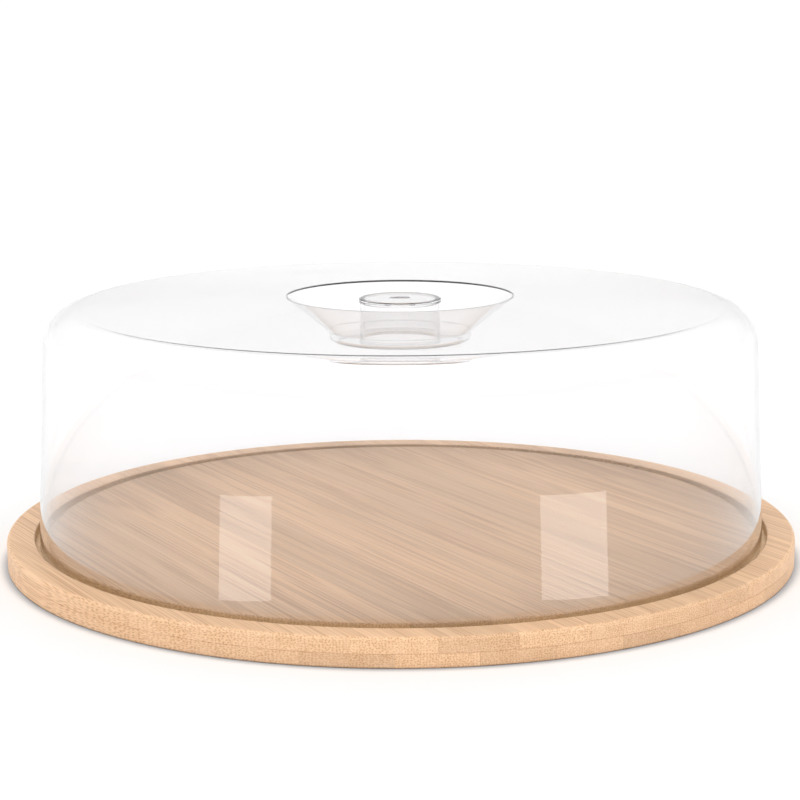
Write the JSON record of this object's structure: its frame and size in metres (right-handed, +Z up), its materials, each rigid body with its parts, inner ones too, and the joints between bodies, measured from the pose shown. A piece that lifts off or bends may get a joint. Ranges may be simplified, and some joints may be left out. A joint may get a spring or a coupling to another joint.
{
  "type": "cake stand with dome",
  "caption": "Low round bamboo cake board with a ring groove, covered by a clear drum-shaped lift-off dome gripped by a knob sunk in its crown.",
  "frame": {"origin": "centre of the board's underside, on the table, on the axis that the board and the dome share", "axes": "+Z up along the shared axis; +X and +Y lie in the table plane, and the staves run along +Y turned 30 degrees anticlockwise seen from above"},
  "size_m": [0.33, 0.33, 0.1081],
  "materials": {
    "bamboo": "sanded and oiled flat-laid bamboo, honey coloured, satin, with fine straight fibre lines and end-grain dots on the rim",
    "clear_plastic": "water-clear moulded plastic, glossy, faint grey-lilac at its edges"
  },
  "bodies": {
    "board": {"upper_stave_01": "bamboo", "upper_stave_02": "bamboo", "upper_stave_03": "bamboo", "upper_stave_04": "bamboo", "upper_stave_05": "bamboo", "upper_stave_06": "bamboo", "upper_stave_07": "bamboo", "upper_stave_08": "bamboo", "upper_stave_09": "bamboo", "upper_stave_10": "bamboo", "upper_stave_11": "bamboo", "upper_stave_12": "bamboo", "upper_stave_13": "bamboo", "lower_stave_01": "bamboo", "lower_stave_02": "bamboo", "lower_stave_03": "bamboo", "lower_stave_04": "bamboo", "lower_stave_05": "bamboo", "lower_stave_06": "bamboo", "lower_stave_07": "bamboo", "lower_stave_08": "bamboo", "lower_stave_09": "bamboo", "lower_stave_10": "bamboo", "lower_stave_11": "bamboo", "lower_stave_12": "bamboo", "lower_stave_13": "bamboo"},
    "dome": {"dome": "clear_plastic"}
  },
  "joints": [
    {"name": "dome_lift", "type": "slide", "parent": "board", "child": "dome", "axis": [0, 0, 1], "range_m": [0, 0.15]}
  ]
}
